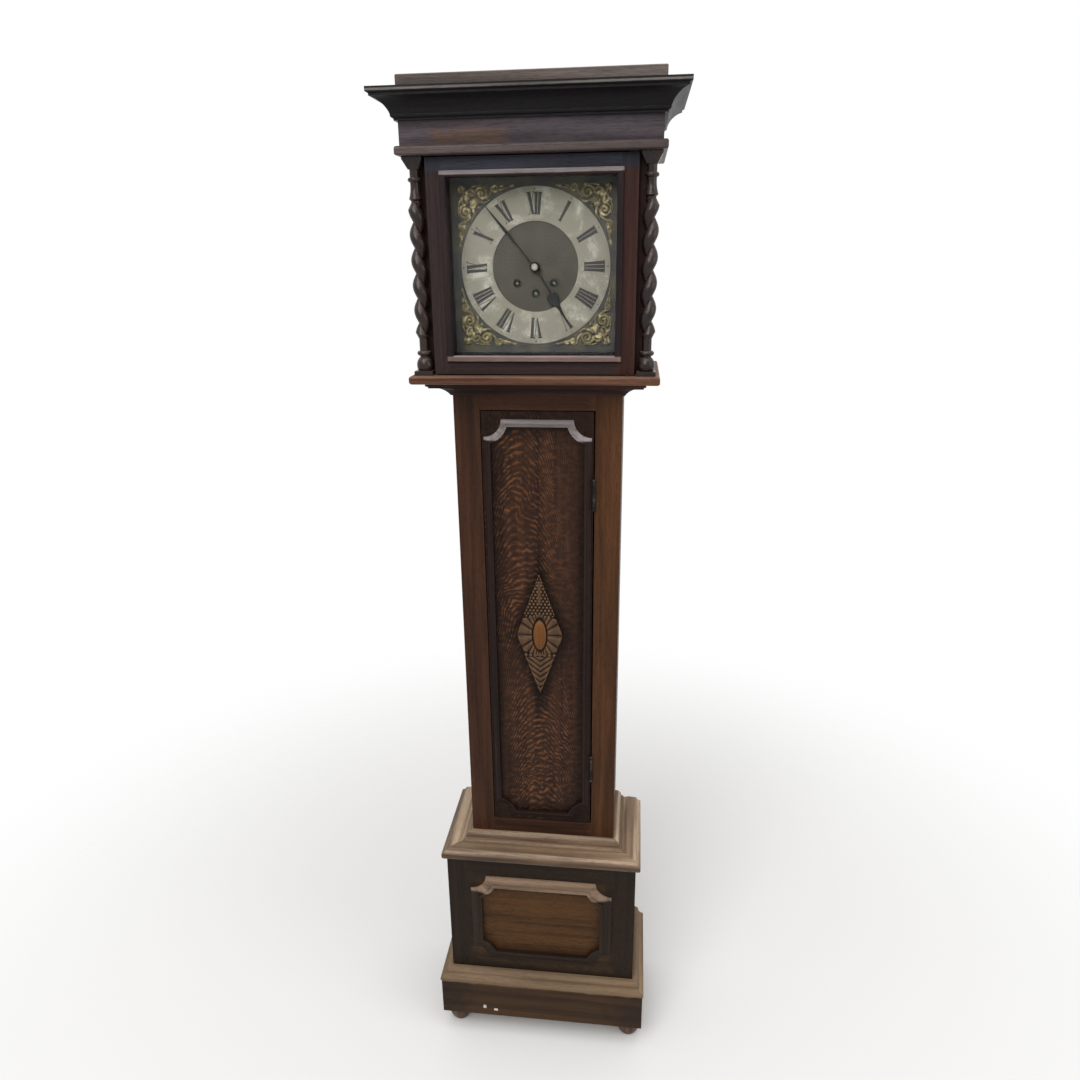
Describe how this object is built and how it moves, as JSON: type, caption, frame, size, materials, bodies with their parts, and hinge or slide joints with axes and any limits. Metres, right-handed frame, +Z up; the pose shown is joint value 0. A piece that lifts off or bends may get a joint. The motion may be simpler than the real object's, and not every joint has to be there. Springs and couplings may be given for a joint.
{
  "type": "longcase clock",
  "caption": "Tall dark oak longcase clock with a square brass dial, twist columns, a panelled trunk door and a plinth on bun feet.",
  "frame": {"origin": "on the floor, midway across the clock and midway between its flat back and the front of its cornice", "axes": "+Z up, +X to the right of someone who faces the dial, -Y out of the dial towards that person"},
  "size_m": [0.467, 0.248, 1.8635],
  "materials": {
    "dark_oak": "waxed dark oak, worn paler on the edges of the mouldings",
    "plinth_oak": "waxed oak, warmer and more golden",
    "door_oak": "quarter-sawn dark oak with golden ray flecks, waxed",
    "black_oak": "almost black polished oak",
    "backboard": "unpolished softwood",
    "brass": "aged brass",
    "dial_brass": "matted and darkened brass",
    "silvered": "silvered and mottled",
    "blued_steel": "blued almost black",
    "steel": "polished steel",
    "glass": "clear flat glass"
  },
  "bodies": {
    "case": {"backboard": "backboard", "plinth_side_left": "dark_oak", "plinth_side_right": "dark_oak", "plinth_front": "plinth_oak", "plinth_floor": "backboard", "plinth_panel_moulding": "dark_oak", "plinth_top_moulding": "dark_oak", "skirt_boards": "dark_oak", "bun_feet": "black_oak", "trunk_side_left": "dark_oak", "trunk_side_right": "dark_oak", "trunk_front_frame": "dark_oak", "hood_support_moulding": "dark_oak", "seatboard": "backboard", "trunk_hinge_case_leaves": "brass", "trunk_hinge_pins": "brass", "dial_plate": "dial_brass", "chapter_ring": "silvered", "spandrels": "brass", "front_plate": "brass", "back_plate": "brass", "side_barrels": "brass", "chime_rods": "steel"},
    "trunk_door": {"trunk_door": "door_oak", "door_panel_moulding": "dark_oak", "diamond_applique": "black_oak", "door_lock": "brass", "trunk_hinge_door_leaves": "brass"},
    "lock_bolt": {"lock_bolt": "steel"},
    "hood": {"hood_side_left": "black_oak", "hood_side_right": "black_oak", "hood_base": "dark_oak", "hood_top_frame": "black_oak", "frieze": "dark_oak", "cornice": "black_oak", "capping_board": "black_oak", "twist_column_left": "black_oak", "twist_column_right": "black_oak", "dial_mask": "black_oak", "hood_pivot_plates": "brass"},
    "hood_door": {"hood_door_frame": "black_oak", "hood_door_bead": "black_oak", "hood_door_glass": "glass", "hood_door_pivots": "brass"},
    "minute_hand": {"minute_hand": "blued_steel", "centre_wheel": "brass"},
    "hour_hand": {"hour_hand": "blued_steel", "hour_wheel": "brass"},
    "minute_wheel": {"minute_wheel": "brass"},
    "intermediate_wheel": {"intermediate_wheel": "brass"},
    "third_wheel": {"third_wheel": "brass"},
    "escape_wheel": {"escape_wheel": "brass"},
    "time_barrel": {"time_barrel": "brass"},
    "anchor": {"anchor": "steel"},
    "pendulum": {"pendulum_rod": "steel", "pendulum_bob": "brass"},
    "time_arbor": {"time_arbor": "steel"},
    "strike_arbor": {"strike_arbor": "steel"},
    "chime_arbor": {"chime_arbor": "steel"},
    "chime_hammers": {"chime_hammers": "brass"}
  },
  "joints": [
    {"name": "trunk_door_swing", "type": "hinge", "parent": "case", "child": "trunk_door", "pos_m": [0.09825, -0.0378, 0.939], "axis": [0, 0, 1], "range_deg": [0, 110]},
    {"name": "lock_bolt_slide", "type": "slide", "parent": "trunk_door", "child": "lock_bolt", "axis": [-1, 0, 0], "range_m": [0, 0.008]},
    {"name": "hood_slide", "type": "slide", "parent": "case", "child": "hood", "axis": [0, -1, 0], "range_m": [0, 0.2]},
    {"name": "hood_door_swing", "type": "hinge", "parent": "hood", "child": "hood_door", "pos_m": [0.158, -0.0705, 1.5885], "axis": [0, 0, 1], "range_deg": [0, 95]},
    {"name": "minute_hand_turn", "type": "hinge", "parent": "case", "child": "minute_hand", "pos_m": [0, -0.026, 1.591], "axis": [0, 1, 0], "continuous": true},
    {"name": "hour_hand_turn", "type": "hinge", "parent": "case", "child": "hour_hand", "pos_m": [0, -0.026, 1.591], "axis": [0, 1, 0], "continuous": true},
    {"name": "minute_wheel_turn", "type": "hinge", "parent": "case", "child": "minute_wheel", "pos_m": [0.01414, -0.008, 1.60514], "axis": [0, 1, 0], "continuous": true},
    {"name": "intermediate_wheel_turn", "type": "hinge", "parent": "case", "child": "intermediate_wheel", "pos_m": [-0.00915, 0.032, 1.57667], "axis": [0, 1, 0], "continuous": true},
    {"name": "third_wheel_turn", "type": "hinge", "parent": "case", "child": "third_wheel", "pos_m": [0.00643, 0.044, 1.60565], "axis": [0, 1, 0], "continuous": true},
    {"name": "escape_wheel_turn", "type": "hinge", "parent": "case", "child": "escape_wheel", "pos_m": [0, 0.034, 1.619], "axis": [0, 1, 0], "continuous": true},
    {"name": "time_barrel_turn", "type": "hinge", "parent": "case", "child": "time_barrel", "pos_m": [0, 0.046, 1.55], "axis": [0, 1, 0], "continuous": true},
    {"name": "pendulum_swing", "type": "hinge", "parent": "case", "child": "pendulum", "pos_m": [0, 0.079, 1.639], "axis": [0, 1, 0], "range_deg": [-3.5, 3.5]},
    {"name": "anchor_rock", "type": "hinge", "parent": "case", "child": "anchor", "pos_m": [0, 0.034, 1.639], "axis": [0, 1, 0], "range_deg": [-3.5, 3.5]},
    {"name": "time_arbor_turn", "type": "hinge", "parent": "case", "child": "time_arbor", "pos_m": [0, 0.024, 1.55], "axis": [0, 1, 0], "continuous": true},
    {"name": "strike_arbor_turn", "type": "hinge", "parent": "case", "child": "strike_arbor", "pos_m": [-0.03, 0.024, 1.566], "axis": [0, 1, 0], "continuous": true},
    {"name": "chime_arbor_turn", "type": "hinge", "parent": "case", "child": "chime_arbor", "pos_m": [0.03, 0.024, 1.566], "axis": [0, 1, 0], "continuous": true},
    {"name": "chime_hammers_lift", "type": "hinge", "parent": "case", "child": "chime_hammers", "pos_m": [0.052, 0.074, 1.522], "axis": [1, 0, 0], "range_deg": [-8, 0]}
  ],
  "couplings": [
    {"joint": "hour_hand_turn", "follows": "minute_hand_turn", "ratio": 0.083333},
    {"joint": "minute_wheel_turn", "follows": "minute_hand_turn", "ratio": -0.25},
    {"joint": "intermediate_wheel_turn", "follows": "minute_hand_turn", "ratio": -0.13333},
    {"joint": "third_wheel_turn", "follows": "minute_hand_turn", "ratio": -9},
    {"joint": "escape_wheel_turn", "follows": "minute_hand_turn", "ratio": 78.75},
    {"joint": "time_barrel_turn", "follows": "minute_hand_turn", "ratio": 0.023333},
    {"joint": "anchor_rock", "follows": "pendulum_swing", "ratio": 1}
  ]
}
